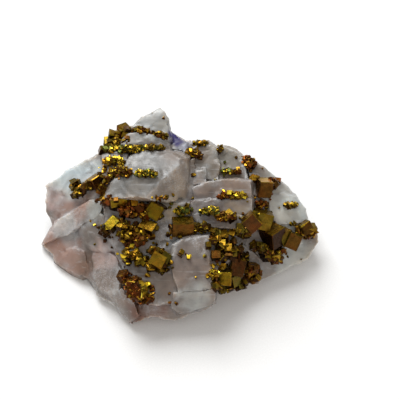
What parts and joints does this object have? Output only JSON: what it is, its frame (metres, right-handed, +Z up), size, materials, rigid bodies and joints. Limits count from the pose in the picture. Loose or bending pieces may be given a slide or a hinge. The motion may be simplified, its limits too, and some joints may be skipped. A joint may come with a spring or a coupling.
{
  "type": "chalcopyrite specimen on matrix",
  "caption": "Hand specimen of brassy cube-like crystals and thin crusts grown on a cleaved block of milky white matrix, resting on its broken back.",
  "frame": {"origin": "middle of the footprint's box, on the surface the specimen rests on", "axes": "+X along the specimen's length, towards its narrow right end; +Z up; the crystal-bearing face looks up and towards -Y"},
  "size_m": [0.0714, 0.0546, 0.0252],
  "materials": {
    "matrix": "milky, slightly translucent, glassy on cleavage faces",
    "chalcopyrite": "metallic, brassy yellow with olive and brown tarnish"
  },
  "bodies": {
    "root": {"matrix": "matrix", "peak_cluster": "chalcopyrite", "upper_ledge_cluster": "chalcopyrite", "left_shoulder_cluster": "chalcopyrite", "great_block_cluster": "chalcopyrite", "left_wing_cluster": "chalcopyrite", "centre_left_cluster": "chalcopyrite", "lower_left_cluster": "chalcopyrite", "front_left_cluster": "chalcopyrite", "saddle_cluster": "chalcopyrite", "hollow_cluster": "chalcopyrite", "third_step_cluster": "chalcopyrite", "second_step_cluster": "chalcopyrite", "top_step_cluster": "chalcopyrite", "notch_cluster": "chalcopyrite", "top_edge_cluster": "chalcopyrite", "top_right_crystal": "chalcopyrite", "right_rim_cluster": "chalcopyrite", "right_shoulder_cluster": "chalcopyrite", "right_shoulder_small_cluster": "chalcopyrite", "right_corner_cluster": "chalcopyrite", "right_cluster": "chalcopyrite", "front_right_cluster": "chalcopyrite"}
  },
  "joints": []
}
